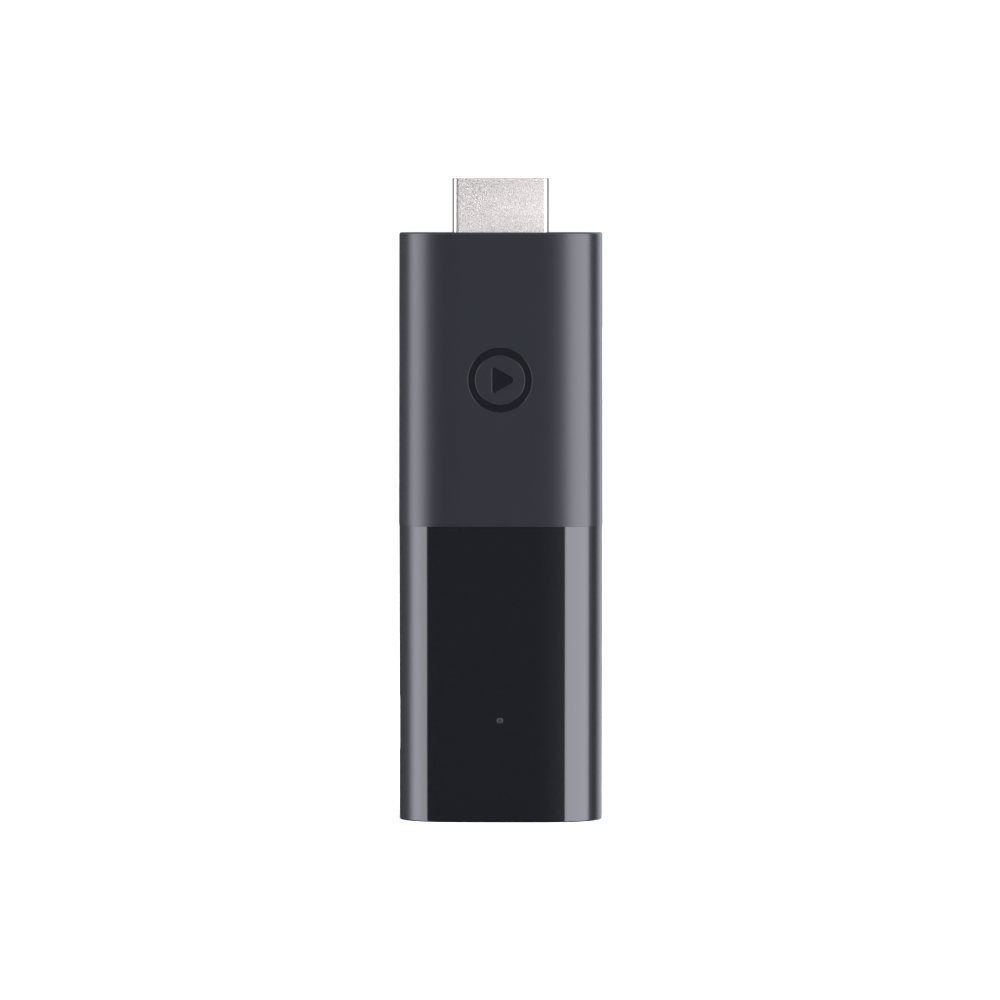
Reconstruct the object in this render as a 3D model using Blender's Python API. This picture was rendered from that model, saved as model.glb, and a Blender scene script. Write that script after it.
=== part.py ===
"""A streaming media stick: a flat two-part housing with a video plug on its upper end.

The stick stands upright. +Z runs up to the plug, the front face looks along -Y and +X is to the right.
The origin is the centre of the flat lower end. Everything inside hangs on one board in the plane y = 0.
"""

from math import pi, sin, sqrt, tan

import bmesh
import bpy
import numpy as np
from mathutils import Vector

MM = 0.001
GAP = 0.3 * MM
SOLDER_GAP = 0.1 * MM
PAST = 1.0 * MM

# Housing
BODY_LENGTH = 84.9 * MM
BODY_WIDTH = 29.5 * MM
BODY_THICKNESS = 15.0 * MM
FLAT_HALF = 5.0 * MM
SIDE_EXPONENT = 2.4
SIDE_STEPS = 22
WALL = 1.2 * MM
END_WALL = 1.4 * MM
SEAM_Z = 42.6 * MM
TOP_EDGE = 0.3 * MM
BASE_EDGE = 0.2 * MM
SEAM_EDGE = 0.1 * MM
SHELL_STEP = 0.05 * MM
SHELL_DRAFT = 0.05 * MM
NECK_WALL = 0.8 * MM
NECK_TOP_Z = SEAM_Z + 4.0 * MM
NECK_ROOT_Z = SEAM_Z - 3.0 * MM
NECK_LEAD = 1.0 * MM

# Clips of the neck and rails that hold the board
CLIP_WIDTH = 7.0 * MM
CLIP_HEIGHT = 0.8 * MM
CLIP_REACH = 0.4 * MM
CLIP_Z = SEAM_Z + 2.1 * MM
RAIL_INNER_X = 11.2 * MM
RAIL_OUTER_X = 13.7 * MM
RAIL_THICKNESS = 0.9 * MM
SHELL_RAIL_LOW_Z = 4.0 * MM
SHELL_RAIL_HIGH_Z = NECK_ROOT_Z - 1.0 * MM
SLEEVE_RAIL_LOW_Z = NECK_TOP_Z + 2.0 * MM
SLEEVE_RAIL_HIGH_Z = 68.5 * MM
LEFT_RAIL_LOW_Z = 20.1 * MM

# Polished mark: a ring with a play triangle in it
MARK_Z = 63.7 * MM
MARK_RADIUS = 4.6 * MM
MARK_LINE = 1.0 * MM
MARK_TRIANGLE = 2.3 * MM
MARK_DEPTH = 0.1 * MM

# Light pipe
LIGHT_Z = 14.7 * MM
LIGHT_RADIUS = 0.45 * MM
LIGHT_HOLE_RADIUS = 0.7 * MM
LIGHT_FLANGE_RADIUS = 1.3 * MM
LIGHT_FLANGE = 0.6 * MM
LIGHT_STEM_END = 1.1 * MM

# Video plug
PLUG_WIDTH = 13.9 * MM
PLUG_HEIGHT = 4.45 * MM
PLUG_SLOPE = 1.8 * MM
PLUG_CORNER = 0.85 * MM
PLUG_SHEET = 0.3 * MM
PLUG_TIP_Z = BODY_LENGTH + 7.8 * MM
PLUG_REAR_Z = 74.0 * MM
LEG_REACH = 3.0 * MM
LEG_FRONT_Y = -1.3 * MM
LEG_BACK_Y = 0.2 * MM
LINER_CORNER = 0.2 * MM
LINER_SINK = 0.5 * MM
LINER_SLOT_WIDTH = 11.2 * MM
LINER_SLOT_HEIGHT = 1.9 * MM
CONTACT_PITCH = 1.0 * MM
CONTACT_WIDTH = 0.45 * MM
CONTACT_SHEET = 0.2 * MM
CONTACT_BOW = 0.2 * MM
CONTACT_TIP_Z = PLUG_TIP_Z - 1.1 * MM
CONTACT_BOW_HIGH_Z = CONTACT_TIP_Z - 1.4 * MM
CONTACT_BOW_LOW_Z = CONTACT_TIP_Z - 2.2 * MM
CONTACT_FLAT_Z = CONTACT_TIP_Z - 4.5 * MM
CONTACT_TAIL = 3.6 * MM
FRONT_ROW = 10
BACK_ROW = 9

# Power inlet in the left side
INLET_Z = 14.0 * MM
INLET_MOUTH_X = -14.1 * MM
INLET_REAR_X = -8.7 * MM
INLET_WIDTH = 7.5 * MM
INLET_HEIGHT = 2.5 * MM
INLET_SLOPE = 0.7 * MM
INLET_SHEET = 0.25 * MM
INLET_CORNER = 0.2 * MM
WING_WIDTH = 1.3 * MM
WING_LENGTH = 2.0 * MM
TONGUE_HALF = 1.9 * MM
TONGUE_FRONT_Y = -0.25 * MM
TONGUE_BACK_Y = 0.35 * MM
TONGUE_SINK = 0.9 * MM
TONGUE_BLOCK = 1.1 * MM
TONGUE_BLOCK_HALF = 2.9 * MM
TONGUE_BLOCK_BACK_Y = 0.85 * MM
STRIP_SHEET = 0.15 * MM
STRIP_WIDTH = 0.4 * MM
STRIP_TAIL = 0.9 * MM
INLET_CONTACTS = 5
INLET_PITCH = 0.65 * MM

# Board
BOARD_WIDTH = 23.0 * MM
BOARD_THICKNESS = 1.0 * MM
BOARD_LOW_Z = 2.6 * MM
BOARD_HIGH_Z = 72.5 * MM
BOARD_CORNER = 0.5 * MM
FINGER_WIDTH = 10.6 * MM
FINGER_TIP_Z = 75.4 * MM
NOTCH_DEPTH = 3.2 * MM
NOTCH_HALF = 4.1 * MM

# Processor, and the screens, heat pads and heat spreaders round it
PROCESSOR_Z = 46.0 * MM
PROCESSOR_HEIGHT = 1.2 * MM
PROCESSOR_PAD_SIZE = (10.0 * MM, 10.0 * MM)
LID_PAD_SIZE = (14.0 * MM, 20.0 * MM)
LID_PAD_Z = 50.0 * MM
STORAGE_PAD_SIZE = (12.0 * MM, 14.0 * MM)
PAD_CORNER = 0.5 * MM
SCREEN_SHEET = 0.2 * MM
FENCE_SIZE = (18.6 * MM, 1.3 * MM, 30.0 * MM)
LID_SIZE = (19.6 * MM, 0.8 * MM, 31.0 * MM)
LID_LIFT = 1.2 * MM
FENCE_Z = 52.0 * MM
REAR_CAN_SIZE = (17.0 * MM, 1.6 * MM, 22.0 * MM)
REAR_CAN_Z = 48.0 * MM
SPREADER_SHEET = 0.5 * MM
SPREADER_Y = 4.8 * MM
SPREADER_EDGE_Y = 3.6 * MM
SPREADER_FLAT_HALF = 7.5 * MM
SPREADER_HALF = 10.3 * MM
SPREADER_TOP_Z = 70.0 * MM
FRONT_SPREADER_Z = 22.0 * MM
REAR_SPREADER_Z = 34.0 * MM
ANTENNA_SHEET = 0.4 * MM

FRONT = -1
BACK = 1

# Soldered pieces, in mm: name, face of the board, centre x and z, size in x, y and z, corner radius, finish
SOLDERED = (
    ("processor_chip", FRONT, 0, PROCESSOR_Z / MM, (14, PROCESSOR_HEIGHT / MM, 14), 0.3, "chip"),
    ("memory_chip_1", FRONT, -4.4, 60.5, (7.5, 1.0, 10.5), 0.2, "chip"),
    ("memory_chip_2", FRONT, 4.4, 60.5, (7.5, 1.0, 10.5), 0.2, "chip"),
    ("storage_chip", BACK, 0, 46, (11.5, 1.0, 13), 0.2, "chip"),
    ("power_chip", FRONT, -1, 24, (5, 0.9, 5), 0.2, "chip"),
    ("power_inductor_1", FRONT, 7.5, 21.5, (3.6, 1.8, 3.6), 0.6, "ferrite"),
    ("power_inductor_2", FRONT, 7.5, 26, (3.6, 1.8, 3.6), 0.6, "ferrite"),
    ("power_inductor_3", FRONT, 7.5, 30.5, (3.6, 1.8, 3.6), 0.6, "ferrite"),
    ("bulk_capacitor_1", FRONT, -7.5, 22.5, (1.6, 1.5, 3.2), 0.1, "ceramic"),
    ("bulk_capacitor_2", FRONT, -7.5, 26.5, (1.6, 1.5, 3.2), 0.1, "ceramic"),
    ("main_crystal", FRONT, -5.5, 32, (3.2, 0.7, 2.5), 0.3, "nickel"),
    ("radio_module", BACK, 1, 24, (12, 1.7, 13), 0.5, "screen"),
    ("radio_crystal", BACK, -8.2, 27, (2.5, 0.7, 2), 0.3, "nickel"),
    ("surge_array_1", FRONT, -3, 69.6, (2.6, 0.6, 1.4), 0.1, "chip"),
    ("surge_array_2", FRONT, 3, 69.6, (2.6, 0.6, 1.4), 0.1, "chip"),
    ("status_led", FRONT, 0, LIGHT_Z / MM, (1.6, 0.6, 0.8), 0.1, "lamp"),
)

# Outlines of the two stamped aerials on the back of the board, x and z in mm
LOWER_ANTENNA = ((-2, 3.4), (10, 3.4), (10, 5.4), (4, 5.4), (4, 8.4), (2.6, 8.4), (2.6, 5.4), (-2, 5.4))
SIDE_ANTENNA = ((8.6, 14), (10.6, 14), (10.6, 30), (8.6, 30), (8.6, 24), (8, 24), (8, 22.4), (8.6, 22.4))


def remove_everything():
    """Empty the scene, so that only the stick is left in it."""
    for old in list(bpy.data.objects):
        bpy.data.objects.remove(old)


def finish(name, colour, roughness, metallic=0.0):
    """A plain Principled finish."""
    made = bpy.data.materials.new(name)
    made.use_nodes = True
    shader = made.node_tree.nodes["Principled BSDF"]
    shader.inputs["Base Color"].default_value = (*colour, 1.0)
    shader.inputs["Roughness"].default_value = roughness
    shader.inputs["Metallic"].default_value = metallic
    return made


def as_object(name, shape, material):
    """Turn a bmesh into a named object of the stick."""
    bmesh.ops.recalc_face_normals(shape, faces=shape.faces)
    mesh = bpy.data.meshes.new(name)
    shape.to_mesh(mesh)
    shape.free()
    mesh.materials.append(material)
    mesh.shade_smooth()
    mesh.set_sharp_from_angle(angle=pi / 6)
    piece = bpy.data.objects.new(name, mesh)
    bpy.context.scene.collection.objects.link(piece)
    return piece


# Outlines: closed rings of points in a plane


def rounded(corners, radius, steps=3):
    """A polygon whose corners are arcs. Each arc turns from one side's direction to the next one's."""
    ring = []
    corners = [Vector(corner) for corner in corners]
    for i, corner in enumerate(corners):
        back = (corners[i - 1] - corner).normalized()
        ahead = (corners[(i + 1) % len(corners)] - corner).normalized()
        half = back.angle(ahead) / 2
        centre = corner + (back + ahead).normalized() * (radius / sin(half))
        first = corner + back * (radius / tan(half)) - centre
        last = corner + ahead * (radius / tan(half)) - centre
        sweep = first.angle(last)
        for step in range(steps + 1):
            share = step / steps
            turned = (first * sin((1 - share) * sweep) + last * sin(share * sweep)) / sin(sweep)
            ring.append(tuple(centre + turned))
    return ring


def rectangle(width, height):
    """Corners of a rectangle about the origin."""
    w, h = width / 2, height / 2
    return [(-w, -h), (w, -h), (w, h), (-w, h)]


def circle(radius, steps=20):
    turn = np.arange(steps) * (2 * pi / steps)
    return np.stack([radius * np.cos(turn), radius * np.sin(turn)], axis=1)


def housing_outline(inset):
    """Flat front and back joined by superellipse sides, |x|^m + |y|^m = 1 beyond the flats."""
    turn = np.linspace(-pi / 2, pi / 2, SIDE_STEPS + 1)
    across = np.abs(np.cos(turn)) ** (2 / SIDE_EXPONENT)
    deep = np.sign(turn) * np.abs(np.sin(turn)) ** (2 / SIDE_EXPONENT)
    x = FLAT_HALF + (BODY_WIDTH / 2 - FLAT_HALF - inset) * across
    y = (BODY_THICKNESS / 2 - inset) * deep
    right = np.stack([x, y], axis=1)
    return np.concatenate([right, -right])


def plug_outline(inset):
    """The plug's D: full width on the front, with two corners cut at 45 degrees on the back."""
    w = PLUG_WIDTH / 2 - inset
    h = PLUG_HEIGHT / 2 - inset
    slope = PLUG_SLOPE - inset * (2 - sqrt(2))
    corners = [(-w, -h), (w, -h), (w, h - slope), (w - slope, h), (slope - w, h), (-w, h - slope)]
    return rounded(corners, PLUG_CORNER - inset / 2)


def inlet_outline(inset):
    """The inlet's mouth, in y and z: a flat bar with two cut corners on the back."""
    h = INLET_HEIGHT / 2 - inset
    w = INLET_WIDTH / 2 - inset
    slope = INLET_SLOPE - inset * (2 - sqrt(2))
    corners = [(-h, -w), (h - slope, -w), (h, slope - w), (h, w - slope), (h - slope, w), (-h, w)]
    return rounded(corners, INLET_CORNER, steps=2)


# Solids made from outlines


def in_space(outline, level, axis):
    """Put an outline across an axis: X takes (y, z), Y takes (x, z) and Z takes (x, y)."""
    if axis == "X":
        return [(level, a, b) for a, b in outline]
    if axis == "Y":
        return [(a, level, b) for a, b in outline]
    return [(a, b, level) for a, b in outline]


def loft(name, stations, axis, material, ring_shut=False):
    """Join outlines of equal length, each at its level, by strips of quads.

    The first and the last outline are capped, or joined to each other when the ring is shut.
    """
    shape = bmesh.new()
    rings = [[shape.verts.new(p) for p in in_space(outline, level, axis)] for outline, level in stations]
    pairs = list(zip(rings, rings[1:]))
    if ring_shut:
        pairs.append((rings[-1], rings[0]))
    else:
        shape.faces.new(rings[0])
        shape.faces.new(rings[-1])
    for lower, upper in pairs:
        for i in range(len(lower)):
            shape.faces.new([lower[i - 1], lower[i], upper[i], upper[i - 1]])
    return as_object(name, shape, material)


def prism(name, outline, low, high, axis, material):
    return loft(name, [(outline, low), (outline, high)], axis, material)


def block(name, low, high, material, corner=0.0):
    """A box between two corners, with its four edges along Y rounded if a radius is given."""
    (x0, y0, z0), (x1, y1, z1) = low, high
    corners = [(x0, z0), (x1, z0), (x1, z1), (x0, z1)]
    outline = rounded(corners, corner) if corner else corners
    return prism(name, outline, y0, y1, "Y", material)


def combine(piece, helper, operation):
    """Join a helper to a piece, or cut the piece with it. The helper itself isn't part of the stick."""
    change = piece.modifiers.new(helper.name, "BOOLEAN")
    change.operation = operation
    change.solver = "EXACT"
    change.object = helper
    helper.hide_render = True
    helper.display_type = "WIRE"


# Housing


def add_rails(shell, material, spans):
    """Ridges along the side walls, in front of and behind the board's edges."""
    for side, low, high in spans:
        for face in (FRONT, BACK):
            near = BOARD_THICKNESS / 2 + GAP
            y = sorted((face * near, face * (near + RAIL_THICKNESS)))
            x = sorted((side * RAIL_INNER_X, side * RAIL_OUTER_X))
            rail = block(
                f"{shell.name}_rail_{side}_{face}_{round(low / MM)}",
                (x[0], y[0], low),
                (x[1], y[1], high),
                material,
            )
            combine(shell, rail, "UNION")


def clip_box(name, inner_y, outer_y, width, height, material):
    return block(
        name,
        (-width / 2, min(inner_y, outer_y), CLIP_Z - height / 2),
        (width / 2, max(inner_y, outer_y), CLIP_Z + height / 2),
        material,
    )


def edge_round(inset, edge, radius, upward, steps=4):
    """Stations of a quarter round that ends on a flat end at the level called edge."""
    stations = []
    for step in range(steps + 1):
        turn = step / steps * pi / 2
        back = radius * (1 - np.cos(turn))
        rise = radius * (1 - sin(turn))
        stations.append((housing_outline(inset + back), edge - rise if upward else edge + rise))
    return stations


def make_upper_sleeve(material, hidden):
    """The satin half: a cup that is open at the seam, with the plug's opening in its end wall."""
    inner_top = BODY_LENGTH - END_WALL
    stations = [
        (housing_outline(WALL), inner_top),
        (housing_outline(WALL), SEAM_Z),
        (housing_outline(SEAM_EDGE), SEAM_Z),
        (housing_outline(0), SEAM_Z + SEAM_EDGE),
        *edge_round(0, BODY_LENGTH, TOP_EDGE, upward=True, steps=3),
    ]
    sleeve = loft("upper_sleeve", stations, "Z", material)
    spans = [(side, SLEEVE_RAIL_LOW_Z, SLEEVE_RAIL_HIGH_Z) for side in (-1, 1)]
    add_rails(sleeve, material, spans)
    opening = prism(
        "plug_opening",
        plug_outline(-GAP),
        inner_top - PAST,
        BODY_LENGTH + PAST,
        "Z",
        hidden,
    )
    combine(sleeve, opening, "DIFFERENCE")
    wall_inner_y = BODY_THICKNESS / 2 - WALL
    for face in (FRONT, BACK):
        pocket = clip_box(
            f"clip_pocket_{face}",
            face * (wall_inner_y - GAP),
            face * (wall_inner_y + CLIP_REACH),
            CLIP_WIDTH + 2 * GAP,
            CLIP_HEIGHT + 2 * GAP,
            hidden,
        )
        combine(sleeve, pocket, "DIFFERENCE")
    for helper in mark_cutters(hidden):
        combine(sleeve, helper, "DIFFERENCE")
    return sleeve


def mark_cutters(hidden):
    """The polished mark's shallow recesses: a ring, and a triangle pointing right inside it."""
    front = -BODY_THICKNESS / 2
    levels = (front - PAST, front + MARK_DEPTH)
    outer = circle(MARK_RADIUS, 40) + (0, MARK_Z)
    inner = circle(MARK_RADIUS - MARK_LINE, 40) + (0, MARK_Z)
    stations = [(outer, levels[0]), (outer, levels[1]), (inner, levels[1]), (inner, levels[0])]
    ring = loft("mark_ring_cutter", stations, "Y", hidden, ring_shut=True)
    corners = circle(MARK_TRIANGLE, 3) + (0, MARK_Z)
    triangle = prism("mark_triangle_cutter", corners, *levels, "Y", hidden)
    return ring, triangle


def make_lower_shell(material, hidden):
    """The gloss half: a cup closed at the base, with a neck that goes up into the sleeve."""
    neck_outer = WALL + GAP
    neck_inner = neck_outer + NECK_WALL
    shoulder = SEAM_Z - GAP
    base_inset = SHELL_STEP + SHELL_DRAFT
    stations = [
        (housing_outline(WALL + base_inset), END_WALL),
        (housing_outline(WALL + SHELL_STEP), NECK_ROOT_Z),
        (housing_outline(neck_inner), SEAM_Z - NECK_LEAD),
        (housing_outline(neck_inner), NECK_TOP_Z),
        (housing_outline(neck_outer), NECK_TOP_Z),
        (housing_outline(neck_outer), shoulder),
        (housing_outline(SHELL_STEP + SEAM_EDGE), shoulder),
        (housing_outline(SHELL_STEP), shoulder - SEAM_EDGE),
        *edge_round(base_inset, 0, BASE_EDGE, upward=False),
    ]
    shell = loft("lower_shell", stations, "Z", material)
    spans = [(-1, LEFT_RAIL_LOW_Z, SHELL_RAIL_HIGH_Z), (1, SHELL_RAIL_LOW_Z, SHELL_RAIL_HIGH_Z)]
    add_rails(shell, material, spans)
    neck_y = BODY_THICKNESS / 2 - neck_outer
    for face in (FRONT, BACK):
        ridge = clip_box(
            f"clip_ridge_{face}",
            face * (neck_y - NECK_WALL / 2),
            face * (neck_y + CLIP_REACH),
            CLIP_WIDTH,
            CLIP_HEIGHT,
            hidden,
        )
        combine(shell, ridge, "UNION")
    hole = prism(
        "light_hole",
        circle(LIGHT_HOLE_RADIUS) + (0, LIGHT_Z),
        -BODY_THICKNESS,
        -BODY_THICKNESS / 2 + 2 * WALL,
        "Y",
        hidden,
    )
    combine(shell, hole, "DIFFERENCE")
    mouth = prism(
        "inlet_hole",
        [(y, z + INLET_Z) for y, z in inlet_outline(-GAP)],
        -BODY_WIDTH,
        -BODY_WIDTH / 2 + 2 * WALL,
        "X",
        hidden,
    )
    combine(shell, mouth, "DIFFERENCE")
    return shell


def make_light_pipe(material):
    """A turned pin: a thin end in the front wall, a flange behind the wall and a stem to the lamp."""
    flange = -BODY_THICKNESS / 2 + SHELL_STEP + WALL + GAP
    stem = flange + LIGHT_FLANGE
    profile = [
        (LIGHT_RADIUS, -BODY_THICKNESS / 2 + 2 * SHELL_STEP),
        (LIGHT_RADIUS, flange),
        (LIGHT_FLANGE_RADIUS, flange),
        (LIGHT_FLANGE_RADIUS, stem),
        (LIGHT_RADIUS * 2, stem),
        (LIGHT_RADIUS * 2, -BOARD_THICKNESS / 2 - LIGHT_STEM_END),
    ]
    stations = [(circle(radius) + (0, LIGHT_Z), y) for radius, y in profile]
    return loft("led_light_pipe", stations, "Y", material)


# Video plug


def make_plug_shell(material):
    """Folded sheet round the D, with two solder legs that run back beside the board's finger."""
    stations = [
        (plug_outline(0), PLUG_REAR_Z),
        (plug_outline(0), PLUG_TIP_Z - SOLDER_GAP),
        (plug_outline(SOLDER_GAP), PLUG_TIP_Z),
        (plug_outline(PLUG_SHEET), PLUG_TIP_Z),
        (plug_outline(PLUG_SHEET), PLUG_REAR_Z),
    ]
    shell = loft("video_plug_shell", stations, "Z", material, ring_shut=True)
    for side in (-1, 1):
        x = sorted((side * (PLUG_WIDTH / 2), side * (PLUG_WIDTH / 2 - PLUG_SHEET)))
        leg = block(
            f"plug_leg_{side}",
            (x[0], LEG_FRONT_Y, PLUG_REAR_Z - LEG_REACH),
            (x[1], LEG_BACK_Y, PLUG_REAR_Z + PAST),
            material,
        )
        combine(shell, leg, "UNION")
    return shell


def make_plug_liner(material):
    """A moulded tube inside the plug's shell, with the contact blades along its slot."""
    outer = plug_outline(PLUG_SHEET + SOLDER_GAP)
    slot = rounded(rectangle(LINER_SLOT_WIDTH, LINER_SLOT_HEIGHT), LINER_CORNER)
    low, high = PLUG_REAR_Z + GAP, PLUG_TIP_Z - LINER_SINK
    liner = prism("video_plug_insulator", outer, low, high, "Z", material)
    cutter = prism("liner_slot", slot, low - PAST, high + PAST, "Z", material)
    combine(liner, cutter, "DIFFERENCE")
    return liner


def contact_outline(face):
    """A blade seen from the side, in y and z: a flat tail, a long flat and a bowed tip."""
    rest_y = LINER_SLOT_HEIGHT / 2 - SOLDER_GAP - CONTACT_SHEET / 2
    centre = [
        (rest_y, FINGER_TIP_Z - CONTACT_TAIL),
        (rest_y, CONTACT_FLAT_Z),
        (rest_y - CONTACT_BOW, CONTACT_BOW_LOW_Z),
        (rest_y - CONTACT_BOW, CONTACT_BOW_HIGH_Z),
        (rest_y, CONTACT_TIP_Z),
    ]
    near = [(face * (y - CONTACT_SHEET / 2), z) for y, z in centre]
    far = [(face * (y + CONTACT_SHEET / 2), z) for y, z in centre]
    return near + far[::-1]


def make_video_contacts(material):
    """Nineteen blades: ten along the front of the slot and nine, half a pitch over, along its back."""
    made = []
    for face, count in ((FRONT, FRONT_ROW), (BACK, BACK_ROW)):
        shared = None
        for i in range(count):
            name = f"video_contact_{len(made) + 1:02d}"
            if shared is None:
                w = CONTACT_WIDTH / 2
                blade = prism(name, contact_outline(face), -w, w, "X", material)
                shared = blade.data
            else:
                blade = bpy.data.objects.new(name, shared)
                bpy.context.scene.collection.objects.link(blade)
            blade.location.x = (i - (count - 1) / 2) * CONTACT_PITCH
            made.append(blade)
    return made


# Power inlet


def make_inlet_shell(material):
    """Folded sheet round the inlet's mouth, with a wing on each side that rests on the board."""
    outer = [(y, z + INLET_Z) for y, z in inlet_outline(0)]
    inner = [(y, z + INLET_Z) for y, z in inlet_outline(INLET_SHEET)]
    ends = (INLET_MOUTH_X, INLET_REAR_X)
    stations = [(outer, ends[0]), (outer, ends[1]), (inner, ends[1]), (inner, ends[0])]
    shell = loft("power_socket_shell", stations, "X", material, ring_shut=True)
    wing_y = -BOARD_THICKNESS / 2 - SOLDER_GAP
    wing_x = INLET_REAR_X - 2 * GAP
    for side in (-1, 1):
        root = INLET_WIDTH / 2 - INLET_SHEET / 2
        z = sorted((INLET_Z + side * root, INLET_Z + side * (INLET_WIDTH / 2 + WING_WIDTH)))
        wing = block(
            f"inlet_wing_{side}",
            (wing_x - WING_LENGTH, wing_y - INLET_SHEET, z[0]),
            (wing_x, wing_y, z[1]),
            material,
        )
        combine(shell, wing, "UNION")
    return shell


def make_inlet_tongue(material):
    """The moulded tongue: a thin blade in the mouth on a block that closes the back."""
    tongue = block(
        "power_socket_tongue",
        (INLET_MOUTH_X + TONGUE_SINK, TONGUE_FRONT_Y, INLET_Z - TONGUE_HALF),
        (INLET_REAR_X - TONGUE_BLOCK / 2, TONGUE_BACK_Y, INLET_Z + TONGUE_HALF),
        material,
    )
    root = block(
        "tongue_block",
        (INLET_REAR_X - TONGUE_BLOCK, TONGUE_FRONT_Y, INLET_Z - TONGUE_BLOCK_HALF),
        (INLET_REAR_X, TONGUE_BLOCK_BACK_Y, INLET_Z + TONGUE_BLOCK_HALF),
        material,
    )
    combine(tongue, root, "UNION")
    return tongue


def make_power_contacts(material):
    """Five strips along the tongue's front, stepping down to the board behind the inlet."""
    near = TONGUE_FRONT_Y - SOLDER_GAP
    tail = -BOARD_THICKNESS / 2 - SOLDER_GAP
    step_x = INLET_REAR_X + GAP
    foot_x = step_x + GAP
    upper = [
        (INLET_MOUTH_X + TONGUE_SINK + GAP, near),
        (step_x, near),
        (foot_x, tail),
        (foot_x + STRIP_TAIL, tail),
    ]
    lower = [(x, y - STRIP_SHEET) for x, y in reversed(upper)]
    half = STRIP_WIDTH / 2
    first = prism("power_contact_1", upper + lower, -half, half, "Z", material)
    made = [first]
    for i in range(1, INLET_CONTACTS):
        strip = bpy.data.objects.new(f"power_contact_{i + 1}", first.data)
        bpy.context.scene.collection.objects.link(strip)
        made.append(strip)
    for i, strip in enumerate(made):
        strip.location.z = INLET_Z + (i - (INLET_CONTACTS - 1) / 2) * INLET_PITCH
    return made


# Board and what stands on it


def make_board(material, hidden):
    """The circuit board: a finger into the plug, and a notch round the inlet."""
    w, f = BOARD_WIDTH / 2, FINGER_WIDTH / 2
    inlet_low, inlet_high = INLET_Z - NOTCH_HALF, INLET_Z + NOTCH_HALF
    corners = [
        (-w, BOARD_LOW_Z),
        (w, BOARD_LOW_Z),
        (w, BOARD_HIGH_Z),
        (f, BOARD_HIGH_Z),
        (f, FINGER_TIP_Z),
        (-f, FINGER_TIP_Z),
        (-f, BOARD_HIGH_Z),
        (-w, BOARD_HIGH_Z),
        (-w, inlet_high),
        (NOTCH_DEPTH - w, inlet_high),
        (NOTCH_DEPTH - w, inlet_low),
        (-w, inlet_low),
    ]
    half = BOARD_THICKNESS / 2
    board = prism("main_board", rounded(corners, BOARD_CORNER, steps=2), -half, half, "Y", material)
    for side in (-1, 1):
        x = side * (PLUG_WIDTH - PLUG_SHEET) / 2
        slot = block(
            f"leg_slot_{side}",
            (x - PLUG_SHEET / 2 - GAP, -PAST, PLUG_REAR_Z - LEG_REACH - GAP),
            (x + PLUG_SHEET / 2 + GAP, PAST, BOARD_HIGH_Z + PAST),
            hidden,
        )
        combine(board, slot, "DIFFERENCE")
    return board


def stand_on_board(name, face, x, z, size, corner, material):
    """A component of this size (x, y, z) soldered to the front or the back of the board."""
    near = face * (BOARD_THICKNESS / 2 + SOLDER_GAP)
    far = near + face * size[1]
    low = (x - size[0] / 2, min(near, far), z - size[2] / 2)
    high = (x + size[0] / 2, max(near, far), z + size[2] / 2)
    return block(name, low, high, material, corner)


def screen_outlines(size, z):
    """Outer and inner outline, in x and z, of a screen of thin sheet centred on the board."""
    outer = rounded(rectangle(size[0], size[2]), 3 * SCREEN_SHEET)
    inner = rounded(rectangle(size[0] - 2 * SCREEN_SHEET, size[2] - 2 * SCREEN_SHEET), 2 * SCREEN_SHEET)
    return [[(a, b + z) for a, b in outline] for outline in (outer, inner)]


def make_screen_can(name, face, z, size, lift, material):
    """A folded tray that is open towards the board and stands this far off it."""
    outer, inner = screen_outlines(size, z)
    base = face * (BOARD_THICKNESS / 2 + lift)
    top = base + face * size[1]
    stations = [(inner, top - face * SCREEN_SHEET), (inner, base), (outer, base), (outer, top)]
    return loft(name, stations, "Y", material)


def make_fence(material):
    """The upright screen wall round the hot chips: a thin closed frame on the board's front."""
    outer, inner = screen_outlines(FENCE_SIZE, FENCE_Z)
    near = -(BOARD_THICKNESS / 2 + SOLDER_GAP)
    far = near - FENCE_SIZE[1]
    stations = [(outer, near), (outer, far), (inner, far), (inner, near)]
    return loft("shield_fence", stations, "Y", material, ring_shut=True)


def make_pad(name, face, near, far, z, size, material):
    """A soft pad that fills the space between two distances from the board's middle."""
    y = sorted((face * (near + SOLDER_GAP), face * (far - SOLDER_GAP)))
    low = (-size[0] / 2, y[0], z - size[1] / 2)
    high = (size[0] / 2, y[1], z + size[1] / 2)
    return block(name, low, high, material, PAD_CORNER)


def make_spreader(name, face, low_z, material):
    """A bent plate: a flat middle with a wing on each side that follows the housing's curve."""
    outer = [
        (-SPREADER_HALF, face * SPREADER_EDGE_Y),
        (-SPREADER_FLAT_HALF, face * SPREADER_Y),
        (SPREADER_FLAT_HALF, face * SPREADER_Y),
        (SPREADER_HALF, face * SPREADER_EDGE_Y),
    ]
    inner = [(x, y - face * SPREADER_SHEET) for x, y in reversed(outer)]
    return prism(name, outer + inner, low_z, SPREADER_TOP_Z, "Z", material)


def make_antenna(name, corners, material):
    """A stamped aerial: a flat bent strip on the back of the board."""
    near = BOARD_THICKNESS / 2 + SOLDER_GAP
    outline = [(x * MM, z * MM) for x, z in corners]
    return prism(name, outline, near, near + ANTENNA_SHEET, "Y", material)


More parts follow.
